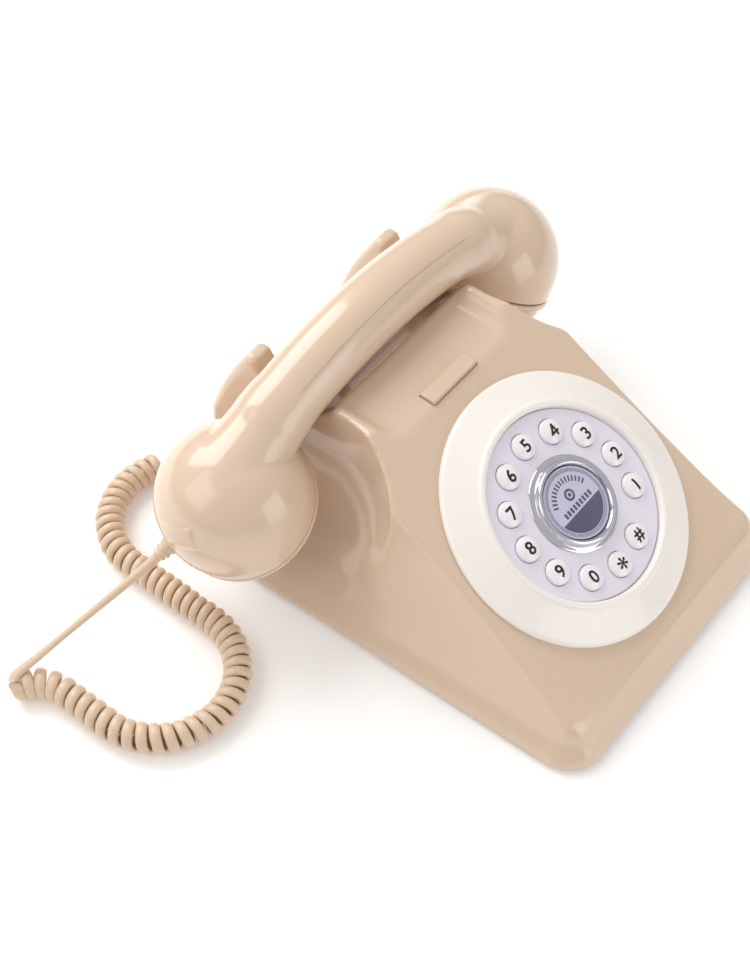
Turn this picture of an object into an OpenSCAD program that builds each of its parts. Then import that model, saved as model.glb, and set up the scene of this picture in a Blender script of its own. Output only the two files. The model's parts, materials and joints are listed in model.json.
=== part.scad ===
// Corded desk telephone with a round push-button keypad, a handset and a coiled cord.
// Origin: on the base plate's underside, in the middle of its width. +X right, +Y to the back, +Z up. Millimetres.

/* [Body] */
// Depth of the body at the table
body_depth = 228; // [226:0.5:230]
// Width of the flared skirt at its widest
skirt_w = 173; // [170:0.5:176]
// Width of the sloping face
face_w = 136; // [135:0.5:138]
// Height of the face's front edge
lip_z = 14; // [13:0.5:15]
// Height of the face's top edge and of the two ears
ear_z = 89; // [88:0.5:90]
// Slope of the face from the horizontal
face_slope = 30; // [29:0.5:31]
// Height of the saddle floor between the ears
saddle_z = 84.5; // [84:0.1:85]
// Height of the rear cradle horns
horn_z = 92.3; // [91.5:0.1:93]
// Wall thickness of the mouldings
wall = 2.6; // [2.2:0.1:2.8]
// Height of the rubber feet below the base
foot_h = 3; // [2:0.5:4]

/* [Keypad] */
// Outer radius of the cream dial ring
ring_r = 60.5; // [59:0.5:62]
// Radius of the silver keypad plate
plate_r = 42.3; // [42:0.1:42.4]
// Height of the keypad plate above the face
plate_n = 6.3; // [6:0.1:6.5]
// Radius of the circle that the buttons stand on
key_circle_r = 32.1; // [31:0.1:33]
// Radius of one button
key_r = 5.6; // [5:0.1:5.8]
// Angle from one button to the next
key_step = 29; // [28:0.5:29.5]
// Angle of the first button, from the phone's right
key_start = -25.6; // [-28:0.1:-23]

/* [Handset] */
// Distance of each cup's centre from the middle
cup_x = 89.6; // [88:0.1:91]
// Height of the cups' centres
cup_z = 58.3; // [57:0.1:60]
// Radius of the cups
cup_r = 33.5; // [32:0.1:33.8]
// Tilt of the cups towards each other
cup_tilt = 32; // [30:1:34]
// Radius of the handle's section
handle_r = 15; // [14:0.1:15]
// Radius of the handle's arch
arch_r = 200; // [195:1:215]
// Height of the middle of the handle
handle_z = 98.7; // [98.5:0.1:99.5]
// Distance of the handset's middle plane behind the origin
handset_y = 71; // [70.5:0.5:71.5]

/* [Cord] */
// Outer radius of the coiled cord
coil_r = 6.8; // [6:0.1:7.5]
// Radius of the straight cord
lead_r = 2; // [1.6:0.1:2.4]

/* [Hidden] */
$fn = 48;
front_d = 104;
rear_y = body_depth - front_d;
lip_y = -front_d + 7;
ear_y = lip_y + (ear_z - lip_z) / tan(face_slope);
dial_y = -36;
dial_z = lip_z + (dial_y - lip_y) * tan(face_slope);
trough_y = handset_y + 1.5;
trough_r = 21.5;
deck_z = handle_z - trough_r + 1.5;
horn_x = 44;
horn_t = 13;
cheek_r = 50;
cheek_x = 97;
cheek_z = 64.5;
boss_h = 40;
floor_t = 3;
gap = 0.1;
skin = 2.2;
seam_r = arch_r - 3;
seam_angle = 15;
cap_d0 = 6.5;
cap_d1 = 20;
shelf_z = 44;
pin_r = 1.05;
pad_z = handle_z - handle_r - 5.1;
plunger_z = handle_z - handle_r - 2.3;
lever_y = 51;
lever_pin_z = 54;
bar_y0 = 25.6;
gong_x = 26.5;
gong_y = 66;
gong_r = 23;
clapper_z = 18;
run_x = -115.7;
turn_r = 32.8;
turn_y = 64;
bend_r = 36;
bend_y = 109;
start_r = 20;
start_y = 88;
jack_x = -50;
line_x = 30;
jack_z = 10.5;
coil_z = coil_r - foot_h;
coil_start = [run_x - 2 * turn_r - start_r / 2, start_y + start_r * sin(60)];
lead_out = [-118, 83.2, 44.7];
screw_spots = [[58, -84], [-58, -84], [62, 101], [-62, 101]];
foot_spots = [[66, -62], [-66, -62], [68, 58], [-68, 58]];
board_spots = [[50, -66], [-50, -66], [50, -22], [-50, -22]];
KEYS = ["key_1", "key_2", "key_3", "key_4", "key_5", "key_6",
        "key_7", "key_8", "key_9", "key_0", "key_star", "key_hash"];

// ---- frames and repeated shapes ----

// Children are drawn in the dial's own frame: z is the face's outward normal
module on_face() {
    translate([0, dial_y, dial_z]) rotate([face_slope, 0, 0]) children();
}

// A cylinder between two heights
module disc(r, z0, z1) {
    translate([0, 0, z0]) cylinder(r = r, h = z1 - z0);
}

// A box given by its low corner and high corner
module box(low, high) {
    translate(low) cube(high - low);
}

// A cylinder along X
module bar_x(r, length) {
    rotate([0, 90, 0]) cylinder(r = r, h = length, center = true);
}

// A cylinder along Y
module bar_y(r, length) {
    rotate([90, 0, 0]) cylinder(r = r, h = length, center = true);
}

// A round-headed self-tapping screw, head down, shank upwards from z = 0
module screw(shank_r, length, head_r, head_h) {
    disc(shank_r, 0, length);
    disc(head_r, -head_h, 0);
}

// The cup's own frame on one side: z runs from the cup's centre out through its cap
module at_cup(side) {
    translate([side * cup_x, handset_y, cup_z]) rotate([0, 180 + side * cup_tilt, 0]) children();
}

// Part of the handle's arch, swept from a 2-D section drawn around the arch's own radius
module arch_sweep(half_angle) {
    translate([0, handset_y, handle_z - arch_r]) rotate([90, 0, 0]) rotate([0, 0, 90 - half_angle])
        rotate_extrude(angle = 2 * half_angle, $fn = 96) children();
}

// ---- body ----

// Points of an arc
function arc(x, y, r, from, to, steps = 6) =
    [for (i = [0 : steps]) let (a = from + (to - from) * i / steps) [x + r * cos(a), y + r * sin(a)]];

// A list of points with its mirror image across x = 0 added, to close an outline
function mirrored(points) = concat(points, [for (i = [len(points) - 1 : -1 : 0]) [-points[i][0], points[i][1]]]);

// Outline of the skirt seen from above, moved in by g
module plan_outline(g) {
    mid_w = skirt_w / 2;
    front_w = mid_w - 8.5;
    rear_w = mid_w - 9;
    polygon(mirrored(concat(
        arc(front_w - 17, -front_d + 17, 17 - g, -90, -8),
        arc(mid_w - 130, 14, 130 - g, -16, 8, 5),
        arc(rear_w - 28, rear_y - 28, 28 - g, 8, 90))));
}

// Outline of the body seen from the front, moved in by g
module front_outline(g) {
    block_w = face_w / 2 + 2 - g;
    polygon(mirrored([[skirt_w / 2 + 2 - g, -1], [skirt_w / 2 - g, 2], [block_w + 7, 11], [block_w + 1.5, 18],
        [block_w, 26], [block_w - 3, ear_z - 8], [block_w - 7, ear_z + 12]]));
}

// Side outline of the body: front strip, sloping face, level ears, back
module side_outline(g) {
    slope_g = g / cos(face_slope);
    polygon([[-front_d + g, -1], [lip_y + g * 1.2, lip_z - slope_g + g * 1.2 * tan(face_slope)],
        [ear_y + g * tan(face_slope / 2), ear_z - g], [handset_y, ear_z - g], [handset_y, deck_z - g],
        [rear_y - 32 - g / 2, deck_z - g], [rear_y - 22 - g, 60], [rear_y - 10 - g, 32], [rear_y - 2 - g, 8],
        [rear_y - g, -1]]);
}

module body_mass(g) {
    intersection() {
        translate([-110, 0, 0]) rotate([90, 0, 90]) linear_extrude(220) side_outline(g);
        translate([0, 120, 0]) rotate([90, 0, 0]) linear_extrude(240) front_outline(g);
        linear_extrude(120) plan_outline(g);
    }
}

// Round hollow beside the tower, where a handset cup hangs
module cheek(side, y, g) {
    r = cheek_r + g;
    translate([side * cheek_x, y, cheek_z])
        rotate_extrude() polygon(concat([[0, 60]], arc(0, 0, r, -90, 0, 8), [[r, 60]]));
}

module cheeks(g) {
    for (side = [-1, 1], y = [47, 66]) cheek(side, y, g);
}

// Trough that the handle lies in
module trough(g) {
    translate([0, trough_y, handle_z]) bar_x(trough_r + g, 260);
}

// Lowered floor between the ears, with rounded ends
module saddle(g) {
    fillet = 12;
    half_w = 34;
    top = 130;
    translate([0, handset_y, 0]) rotate([90, 0, 0]) linear_extrude(90) polygon(mirrored(concat(
        arc(half_w, saddle_z + fillet - g, fillet, -90, 0), [[half_w + fillet, top]])));
}

// Rear cradle horn: an upright rib that rises from the back wall behind the handle, hollow inside
module horn(side, g) {
    thick = horn_t - 2 * g;
    translate([side * horn_x - thick / 2, -1.2 * g, -1.1 * g]) rotate([90, 0, 90]) linear_extrude(thick)
        polygon([[84, 60], [84, 84], [93.5, horn_z], [98.2, horn_z], [100.4, horn_z - 2.5], [106, 79.5],
            [111.3, 68.5], [115.4, 57.6], [119.7, 44.8], [rear_y - 2.5, 32], [rear_y - 3.7, 13], [rear_y - 12, 13]]);
}

module body_outside() {
    difference() {
        union() {
            body_mass(0);
            for (side = [-1, 1]) horn(side, 0);
        }
        cheeks(0);
        trough(0);
        saddle(0);
    }
}

module body_cavity() {
    difference() {
        union() {
            body_mass(wall);
            for (side = [-1, 1]) horn(side, wall);
        }
        cheeks(wall);
        trough(wall);
        saddle(wall);
    }
}

module body_cover() {
    color([0.80, 0.70, 0.60]) {
        difference() {
            body_outside();
            body_cavity();
            on_face() disc(50.2, -12, 12);
            for (x = [-24, 24]) translate([x, handset_y, 60]) cylinder(r = 3.08, h = 30);
            box([-15.2, bar_y0 - 0.2, 76], [15.2, bar_y0 + 7.2, 90]);
            for (x = [jack_x, line_x]) box([x - 6.2, rear_y - 12, jack_z - 5.2], [x + 6.2, rear_y + 4, jack_z + 5.2]);
        }
        for (p = screw_spots) translate([p[0], p[1], 0]) difference() {
            disc(4.5, floor_t + 0.2, p[1] < 0 ? 19.6 : boss_h);
            disc(1.4, floor_t, 18);
        }
        for (x = [-22, 22]) translate([x, bar_y0 + 3.5, 0]) difference() {
            disc(2.6, 70.1, saddle_z - wall + 0.6);
            disc(1.1, 69, 78);
        }
    }
}

module base_plate() {
    color([0.22, 0.21, 0.20]) difference() {
        union() {
            linear_extrude(floor_t) plan_outline(wall + 2.8);
            for (p = board_spots) translate([p[0], p[1], 0]) disc(3.5, floor_t - 0.5, 8);
            for (x = [jack_x, line_x]) box([x - 7, rear_y - 22, floor_t - 0.5], [x + 7, rear_y - 8, jack_z - 6.5]);
        }
        for (p = screw_spots) translate([p[0], p[1], 0]) {
            disc(1.9, -1, 5);
            disc(3.8, -1, 1.6);
        }
        for (p = foot_spots) translate([p[0], p[1], 0]) disc(3, -1, 5);
        for (p = board_spots) translate([p[0], p[1], 0]) disc(1.3, floor_t, 9);
        box([-8, -44, -1], [8, -38, 5]);
    }
}

module rubber_feet() {
    color([0.10, 0.10, 0.10]) for (p = foot_spots) translate([p[0], p[1], 0]) {
        disc(7, -foot_h, 0);
        disc(2.95, -gap, floor_t + 0.4);
    }
}

module cover_screws() {
    color([0.75, 0.75, 0.77]) for (p = screw_spots) translate([p[0], p[1], 1.5]) screw(1.35, 13, 3.4, 1.3);
}

module ballast_plate() {
    color([0.45, 0.46, 0.48]) box([-52, -6, floor_t], [52, 29, floor_t + 4]);
}

// ---- keypad ----

module dial_ring() {
    color([0.97, 0.93, 0.86]) on_face() {
        difference() {
            rotate_extrude($fn = 96) polygon([[ring_r, 0], [ring_r, 2], [ring_r - 0.9, 2.9], [46, 7.7], [45.4, 8.7],
                [43.6, 8.9], [42.7, 8.2], [42.5, 5], [40.2, 5], [40.2, 1.4], [47, 1.4], [47, -5], [49.8, -5], [49.8, 0]]);
            for (a = [45 : 90 : 315]) rotate(a) translate([43.8, 0, 0]) disc(1.15, 0, 4.6);
        }
        for (a = [0 : 120 : 240]) rotate(a) rotate_extrude(angle = 12, $fn = 96)
            polygon([[49.4, -4.7], [51.4, -4.7], [51.4, -3.8], [50.6, -2.6], [49.4, -2.6]]);
    }
}

// Children at each button's place, in the dial's frame
module at_key(i) {
    on_face() rotate(key_start + i * key_step) translate([key_circle_r, 0, 0]) children();
}

module keypad_plate() {
    color([0.86, 0.84, 0.90]) difference() {
        on_face() disc(plate_r, plate_n - 1.3, plate_n);
        for (i = [0 : 11]) at_key(i) disc(key_r + 0.25, 0, 10);
        on_face() disc(2.6, 0, 10);
    }
}

// One domed button with a retaining flange under the plate
module key_button(i) {
    dome_h = 1.1;
    dome_r = (key_r * key_r + dome_h * dome_h) / (2 * dome_h);
    top_n = plate_n + 2.6;
    color([0.95, 0.94, 0.93]) at_key(i) {
        intersection() {
            disc(key_r, 3.4, top_n);
            translate([0, 0, top_n - dome_r]) sphere(r = dome_r, $fn = 96);
        }
        disc(key_r + 0.8, 3.4, plate_n - 1.5);
    }
}

module centre_bezel() {
    color([0.82, 0.82, 0.84]) on_face() {
        rotate_extrude($fn = 96) polygon([[0, plate_n], [18.6, plate_n], [19.2, plate_n + 0.8], [19, plate_n + 2.6],
            [18.2, plate_n + 3.7], [17.2, plate_n + 3.9], [16.3, plate_n + 3.3], [16.1, plate_n + 1.8], [0, plate_n + 1.8]]);
        disc(2.5, plate_n - 3.2, plate_n + 0.1);
    }
}

module bezel_clip() {
    color([0.5, 0.5, 0.52]) on_face() difference() {
        disc(6, plate_n - 2.2, plate_n - 1.4);
        disc(2.52, 0, 10);
    }
}

module centre_card() {
    color([0.84, 0.82, 0.90]) on_face() disc(15.9, plate_n + 1.8, plate_n + 2.1);
}

module centre_lens() {
    low = plate_n + 2.15;
    color([0.9, 0.9, 0.95, 0.4]) on_face() rotate_extrude()
        polygon([[0, low], [15.9, low], [15.9, low + 0.7], [11, low + 1.1], [6, low + 1.3], [0, low + 1.4]]);
}

module keypad_membrane() {
    color([0.55, 0.55, 0.58]) {
        difference() {
            on_face() disc(46.4, 0.45, 1.35);
            on_face() for (a = [45 : 90 : 315]) rotate(a) translate([43.8, 0, 0]) disc(1.4, 0, 5);
        }
        for (i = [0 : 11]) at_key(i) disc(2.4, 1.3, 1.75);
    }
}

module keypad_board() {
    color([0.16, 0.38, 0.24]) difference() {
        on_face() disc(46.6, -1.2, 0.4);
        on_face() for (a = [45 : 90 : 315]) rotate(a) translate([43.8, 0, 0]) disc(1.3, -4, 5);
    }
}

module keypad_screws() {
    color([0.75, 0.75, 0.77]) on_face() for (a = [45 : 90 : 315])
        rotate(a) translate([43.8, 0, -1.25]) screw(1.1, 5.6, 2.4, 1.5);
}

// Flat cable from the keypad board down to the main board
module keypad_ribbon() {
    color([0.75, 0.75, 0.72]) translate([-9, 0, 0]) rotate([90, 0, 90]) linear_extrude(18)
        polygon([[-35.2, 46.2], [-31, 30], [-29, 12], [-34, 9.9], [-38, 9.9], [-38, 9.65], [-33.8, 9.65],
                 [-28, 12], [-30, 30], [-34.6, 46.55]]);
}

// ---- electronics ----

module main_board() {
    color([0.16, 0.38, 0.24]) difference() {
        box([-55, -71, 8], [55, -17, 9.6]);
        for (p = board_spots) translate([p[0], p[1], 0]) disc(1.5, 5, 12);
    }
}

module board_components() {
    color([0.12, 0.12, 0.14]) {
        box([-44, -60, 9.65], [-24, -44, 22]);
        box([-14, -62, 9.65], [4, -52, 12.4]);
        box([12, -36, 9.65], [30, -26, 13]);
        box([-40, -34, 9.65], [-26, -26, 16]);
    }
    color([0.15, 0.25, 0.55]) for (x = [14, 24, 34]) translate([x, -54, 0]) disc(3.8, 9.65, 20);
    color([0.80, 0.65, 0.30]) for (x = [12, 20, 28, 36]) translate([x, -43, 11.1]) bar_y(1.4, 5);
}

module board_screws() {
    color([0.75, 0.75, 0.77]) for (p = board_spots) translate([p[0], p[1], 9.65]) rotate([180, 0, 0])
        screw(1.2, 6.2, 2.6, 1.5);
}

// Modular socket with its mouth at the back
module socket(x) {
    difference() {
        box([x - 7, rear_y - 22, jack_z - 6.45], [x + 7, rear_y - 8.1, jack_z + 7]);
        box([x - 4.4, rear_y - 19, jack_z - 3.6], [x + 4.4, rear_y - 7, jack_z + 3.4]);
    }
}

module line_socket() {
    color([0.14, 0.14, 0.14]) socket(line_x);
}

module handset_socket() {
    color([0.14, 0.14, 0.14]) socket(jack_x);
}

module cord_plug() {
    color([0.85, 0.80, 0.74]) translate([jack_x, 0, jack_z]) {
        box([-4, rear_y - 18, -3.2], [4, rear_y + 3, 3]);
        translate([0, rear_y + 5, 0]) bar_y(2.8, 5);
    }
}

module ringer_switch() {
    color([0.14, 0.14, 0.14]) box([-10, -45.5, floor_t + 0.2], [10, -36.5, 7.6]);
}

module ringer_slider() {
    color([0.85, 0.85, 0.85]) box([-3.5, -43.4, -1.4], [3.5, -38.6, floor_t + 0.1]);
}

// ---- bell ----

module bell_frame() {
    color([0.65, 0.66, 0.68]) {
        difference() {
            union() {
                box([-34, 55, floor_t], [34, 77, floor_t + 2]);
                for (y = [57, 73]) box([-3, y, floor_t + 1], [3, y + 2, clapper_z + 3]);
            }
            translate([0, gong_y, clapper_z]) bar_y(pin_r + 0.02, 30);
        }
        for (side = [-1, 1]) translate([side * gong_x, gong_y, 0]) difference() {
            disc(3.2, floor_t + 1, 34.6);
            disc(1.3, 26, 36);
        }
    }
}

// Two brass bowls, mouths down
module gongs() {
    color([0.78, 0.60, 0.28]) for (side = [-1, 1]) translate([side * gong_x, gong_y, 24])
        rotate_extrude() polygon(concat([[1.6, 10.7], [1.6, 12]],
            [for (a = [80 : -10 : 0]) [6 + (gong_r - 6) * cos(a), 12 * sin(a)]],
            [for (a = [0 : 10 : 80]) [5 + (gong_r - 6.4) * cos(a), 10.7 * sin(a)]]));
}

module gong_screws() {
    color([0.75, 0.75, 0.77]) for (side = [-1, 1]) translate([side * gong_x, gong_y, 36.1]) rotate([180, 0, 0])
        screw(1.25, 8.5, 3, 1.8);
}

module bell_coils() {
    color([0.60, 0.32, 0.18]) for (side = [-1, 1]) translate([side * 9.5, gong_y, 0]) {
        disc(5.4, floor_t + 2.05, 14.4);
        disc(2.2, 14, 15.4);
    }
}

// Rocking armature with the hammer between the gongs
module clapper() {
    color([0.70, 0.70, 0.72]) difference() {
        union() {
            box([-12, gong_y - 4, clapper_z - 1.3], [12, gong_y + 4, clapper_z + 1.3]);
            translate([0, gong_y, clapper_z]) bar_y(2.6, 12);
            translate([0, gong_y, 0]) disc(0.9, clapper_z + 1, 28.5);
            translate([0, gong_y, 28.5]) sphere(r = 2.1);
        }
        translate([0, gong_y, clapper_z]) bar_y(pin_r + 0.05, 30);
    }
}

module clapper_pin() {
    color([0.80, 0.80, 0.82]) translate([0, gong_y, clapper_z]) bar_y(pin_r, 19);
}

// ---- hook switch ----

module hook_bracket() {
    color([0.65, 0.66, 0.68]) difference() {
        union() {
            box([-20, 34, floor_t], [20, 43, floor_t + 2]);
            for (x = [-18, 16]) box([x, 34, floor_t + 1], [x + 2, 42, shelf_z - 1]);
            box([-20, 34, shelf_z - 2], [20, 80, shelf_z]);
            for (x = [-6, 4]) box([x, lever_y - 4, shelf_z - 1], [x + 2, lever_y + 4, lever_pin_z + 4]);
        }
        translate([0, lever_y, lever_pin_z]) bar_x(pin_r + 0.02, 30);
    }
}

// Two plunger rods on one bridge, pressed down by the resting handle
module hook_plunger() {
    color([0.90, 0.88, 0.84]) {
        for (x = [-24, 24]) translate([x, handset_y, 0]) disc(3, 60, plunger_z);
        box([-27, handset_y - 4, 58.6], [27, handset_y + 4, 62]);
    }
}

// Wire wound into a compression spring between two heights
module spring(coil_radius, wire_r, z0, z1, turns) {
    steps = 9;
    sides = 5;
    count = turns * steps;
    function point(i, j) = let (a = 360 * i / steps, b = 360 * j / sides, r = coil_radius + wire_r * cos(b))
        [r * cos(a), r * sin(a), z0 + wire_r + (z1 - z0 - 2 * wire_r) * i / count + wire_r * sin(b)];
    points = [for (i = [0 : count], j = [0 : sides - 1]) point(i, j)];
    walls = [for (i = [0 : count - 1], j = [0 : sides - 1], half = [0, 1])
        let (k = (j + 1) % sides, a = i * sides + j, b = (i + 1) * sides + k)
            half == 0 ? [a, i * sides + k, b] : [a, b, (i + 1) * sides + j]];
    cap_low = [for (j = [0 : sides - 1]) sides - 1 - j];
    cap_high = [for (j = [0 : sides - 1]) count * sides + j];
    polyhedron(points, concat(walls, [cap_low, cap_high]));
}

module hook_springs() {
    color([0.80, 0.80, 0.82]) for (x = [-13, 13])
        translate([x, handset_y, 0]) spring(3, 0.45, shelf_z + 0.1, 58.5, 5);
}

module hook_lever() {
    color([0.85, 0.82, 0.76]) difference() {
        union() {
            translate([0, lever_y, lever_pin_z]) bar_x(3, 7.4);
            box([-3, 41, lever_pin_z - 1.2], [3, lever_y, lever_pin_z + 1.2]);
            box([-3, lever_y, lever_pin_z - 1.2], [3, handset_y - 2, lever_pin_z + 1.2]);
            translate([0, handset_y - 2, lever_pin_z + 1.9]) bar_x(2.4, 6);
        }
        translate([0, lever_y, lever_pin_z]) bar_x(pin_r + 0.05, 30);
    }
}

module hook_lever_pin() {
    color([0.80, 0.80, 0.82]) translate([0, lever_y, lever_pin_z]) bar_x(pin_r, 15);
}

module hook_switch() {
    color([0.12, 0.12, 0.14]) {
        box([-3.2, 36, shelf_z], [3.2, 47, 49.4]);
        translate([0, 42, 0]) disc(1.2, 49, 50);
    }
}

module push_bar() {
    color([0.80, 0.70, 0.60]) {
        box([-15, bar_y0, saddle_z - 4.2], [15, bar_y0 + 7, saddle_z + 1.2]);
        box([-17, bar_y0, saddle_z - 4.2], [17, bar_y0 + 8, saddle_z - 2.9]);
        translate([0, bar_y0 + 3.5, 0]) disc(2.2, saddle_z - 5.5, saddle_z - 4);
    }
}

module push_bar_switch() {
    color([0.12, 0.12, 0.14]) {
        difference() {
            box([-26, bar_y0 - 1.5, 68], [26, bar_y0 + 8.5, 70]);
            for (x = [-22, 22]) translate([x, bar_y0 + 3.5, 0]) disc(1.3, 60, 80);
        }
        box([-6, bar_y0, 63], [6, bar_y0 + 7, 68.1]);
        translate([0, bar_y0 + 3.5, 0]) disc(1.6, 69.9, saddle_z - 7.2);
    }
}

module cradle_pads() {
    color([0.10, 0.10, 0.10]) for (x = [-38, 38]) intersection() {
        box([x - 3, trough_y - 6, deck_z - 5], [x + 3, trough_y + 6, pad_z]);
        translate([0, trough_y, handle_z]) rotate([0, 90, 0])
            cylinder(r = trough_r - 0.05, h = 120, center = true, $fn = 160);
    }
}

// ---- handset ----

// Outline of a cup, moved in by g: a dome and a short straight wall, open at the cap
module cup(g) {
    low = cap_d0 + (g > 0 ? 1 : 0);
    rotate_extrude($fn = 32) polygon(concat(arc(0, 0, cup_r - g, -90, 0, 8), [[cup_r - g, low], [0, low]]));
}

// Widening neck from the handle's end into the cup
module neck(side, g) {
    from = [arch_r * sin(18), handle_z - arch_r + arch_r * cos(18)];
    to = [cup_x + 3, cup_z + 13];
    reach = to - from;
    translate([side * from[0], handset_y, from[1]]) rotate([0, side * atan2(reach[0], reach[1]), 0])
        cylinder(r1 = handle_r - 0.6 - g, r2 = 18 - g, h = norm(reach));
}

// Handle, necks and cups in one piece, moved in by g
module handset_mass(g) {
    arch_sweep(20) translate([arch_r, 0]) circle(r = handle_r - g);
    for (side = [-1, 1]) {
        at_cup(side) cup(g);
        neck(side, g);
    }
}

// Zone of the lower shell, a strip along the handle's underside
module seam_zone(g) {
    arch_sweep(seam_angle - g / 4) translate([seam_r - 30, -30]) square([30 - g, 60]);
}

module cord_axis() {
    end = [coil_start[0], coil_start[1], coil_z];
    d = end - lead_out;
    flat = norm([d[0], d[1]]);
    translate(lead_out) rotate([0, atan2(flat, d[2]), atan2(d[1], d[0])]) children();
}

module handset_upper_shell() {
    color([0.80, 0.70, 0.60]) {
        difference() {
            handset_mass(0);
            handset_mass(skin);
            seam_zone(0);
            cord_axis() disc(4.2, -16, 12);
        }
        for (x = [-30, 30]) translate([x, handset_y, 0]) difference() {
            disc(2.4, handle_z - 4, handle_z + 11.4);
            disc(1.05, handle_z - 5, handle_z + 6);
        }
    }
}

module handset_lower_shell() {
    color([0.80, 0.70, 0.60]) difference() {
        intersection() {
            arch_sweep(20) translate([arch_r, 0]) difference() {
                circle(r = handle_r);
                circle(r = handle_r - skin);
            }
            seam_zone(gap);
        }
        for (x = [-30, 30]) translate([x, handset_y, 0]) {
            disc(1.25, 70, handle_z);
            disc(2.2, 70, handle_z - 15.6);
        }
    }
}

module handset_screws() {
    color([0.75, 0.75, 0.77]) for (x = [-30, 30]) translate([x, handset_y, handle_z - 15.7]) screw(1, 19, 2, 1.2);
}

// Screw-on cap with a dished, pierced face and a collar that goes up inside the cup
module cap(side, hole_r) {
    at_cup(side) difference() {
        rotate_extrude($fn = 96) polygon([[cup_r - 0.1, cap_d0 + gap], [cup_r - 0.5, cap_d0 + 5], [cup_r - 2.2, cap_d0 + 10],
            [28.6, cap_d1 - 0.6], [27, cap_d1], [24, cap_d1 - 0.6], [0, cap_d1 - 2.2], [0, cap_d1 - 4.4],
            [25, cap_d1 - 3], [27.6, cap_d0 + 8], [28, 0], [cup_r - skin - 0.2, 0], [cup_r - skin - 0.2, cap_d0 + gap]]);
        disc(hole_r, 0, 30);
        for (a = [0 : 60 : 300]) rotate(a) translate([9, 0, 0]) disc(hole_r, 0, 30);
    }
}

module earpiece_cap() {
    color([0.80, 0.70, 0.60]) cap(1, 1.5);
}

module mouthpiece_cap() {
    color([0.80, 0.70, 0.60]) difference() {
        cap(-1, 1.2);
        cord_axis() disc(4.4, -16, 12);
    }
}

module receiver_capsule() {
    color([0.30, 0.30, 0.32]) at_cup(1) {
        disc(23.5, 8, 14.6);
        disc(12, 2, 8);
    }
}

module microphone_capsule() {
    color([0.30, 0.30, 0.32]) at_cup(-1) {
        disc(20, 12.6, 14.6);
        disc(7, 5, 12.6);
    }
}

module handset_ballast() {
    color([0.45, 0.46, 0.48]) arch_sweep(7) translate([arch_r, 0]) circle(r = 5.5);
}

module cord_grommet() {
    color([0.80, 0.70, 0.60]) cord_axis() difference() {
        rotate_extrude() polygon([[0, -3], [4.1, -3], [4.1, 2], [3.6, 3.2], [2.7, 9], [0, 9]]);
        disc(0.9, -6, -1);
    }
}

// Part of the coil lying in a curve around a point on the table
module coil_bend(centre, radius, from, sweep) {
    translate([centre[0], centre[1], coil_z]) rotate([0, 0, from])
        rotate_extrude(angle = sweep) translate([radius, 0]) circle(r = coil_r);
}

// Straight part of the coil along Y
module coil_run(x, y0, y1) {
    translate([x, y0, coil_z]) rotate([-90, 0, 0]) disc(coil_r, gap, y1 - y0 - gap);
}

// The whole handset cord: lead from the mouthpiece, coil on the table, lead to the plug
module coil_cord() {
    west_x = run_x - 2 * turn_r;
    lead_len = norm([coil_start[0], coil_start[1], coil_z] - lead_out);
    tail_y = bend_y + bend_r;
    tail = [run_x + bend_r + 3, tail_y, coil_z];
    corner_r = tail_y - rear_y - 7.6;
    corner = [jack_x - corner_r, tail_y, jack_z];
    rise = corner - tail;
    color([0.72, 0.60, 0.46]) {
        cord_axis() disc(lead_r, 9.1, lead_len - 0.4);
        coil_bend([west_x - start_r, start_y], start_r, 0, 60);
        coil_run(west_x, turn_y, start_y);
        coil_bend([run_x - turn_r, turn_y], turn_r, 180, 180);
        coil_run(run_x, turn_y, bend_y);
        coil_bend([run_x + bend_r, bend_y], bend_r, 90, 90);
        translate(tail) rotate([0, atan2(rise[0], rise[2]), 0]) disc(lead_r, -2, norm(rise) - gap);
        translate([corner[0], tail_y - corner_r, jack_z])
            rotate_extrude(angle = 90) translate([corner_r, 0]) circle(r = lead_r);
    }
}

base_plate();
body_cover();
rubber_feet();
cover_screws();
ballast_plate();
dial_ring();
keypad_plate();
centre_bezel();
centre_card();
centre_lens();
bezel_clip();
keypad_membrane();
keypad_board();
keypad_screws();
keypad_ribbon();
main_board();
board_components();
board_screws();
line_socket();
handset_socket();
cord_plug();
bell_frame();
gongs();
gong_screws();
bell_coils();
clapper();
clapper_pin();
hook_bracket();
hook_plunger();
hook_springs();
hook_lever();
hook_lever_pin();
hook_switch();
push_bar();
push_bar_switch();
ringer_switch();
ringer_slider();
cradle_pads();
handset_upper_shell();
handset_lower_shell();
earpiece_cap();
mouthpiece_cap();
receiver_capsule();
microphone_capsule();
handset_ballast();
handset_screws();
cord_grommet();
coil_cord();
for (i = [0 : 11]) key_button(i);
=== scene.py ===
"""Looks for the corded desk telephone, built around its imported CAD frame.

Lengths are in millimetres unless a comment says otherwise; MM turns them into metres.
"""

import json
import math

import bmesh
import bpy
import numpy as np
import openvdb
from mathutils import Matrix, Vector


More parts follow.
